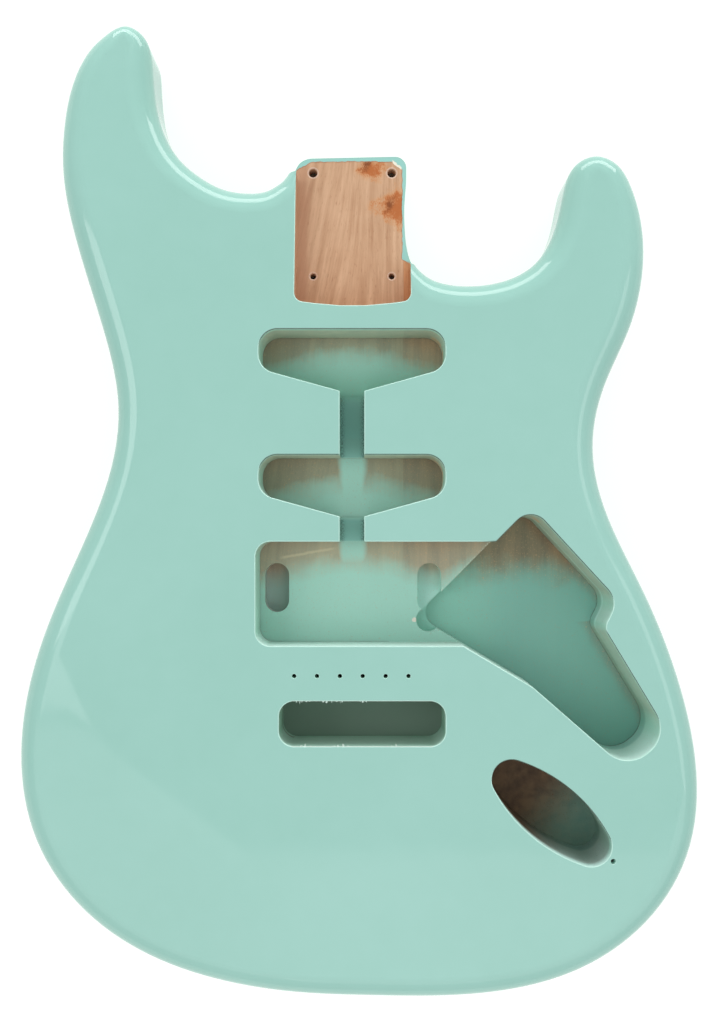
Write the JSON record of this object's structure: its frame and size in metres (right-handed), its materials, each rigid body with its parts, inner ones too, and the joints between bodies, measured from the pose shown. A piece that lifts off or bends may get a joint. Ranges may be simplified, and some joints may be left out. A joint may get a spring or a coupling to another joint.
{
  "type": "electric guitar body",
  "caption": "Lacquered solid double-cutaway electric guitar body with neck pocket, pickup, control, jack and spring cavities, tremolo slot and body contours.",
  "frame": {"origin": "on the back face, on the neck's centreline, under the middle of the heel end of the neck pocket", "axes": "+Z out of the front, +Y along the centreline towards the neck, +X towards the treble side"},
  "size_m": [0.3272, 0.4643, 0.045],
  "materials": {
    "lacquered_wood": "gloss"
  },
  "bodies": {
    "root": {"bass_outer_board": "lacquered_wood", "bass_inner_board": "lacquered_wood", "centre_board": "lacquered_wood", "centre_tail_board": "lacquered_wood", "treble_inner_board": "lacquered_wood", "treble_outer_board": "lacquered_wood"}
  },
  "joints": []
}
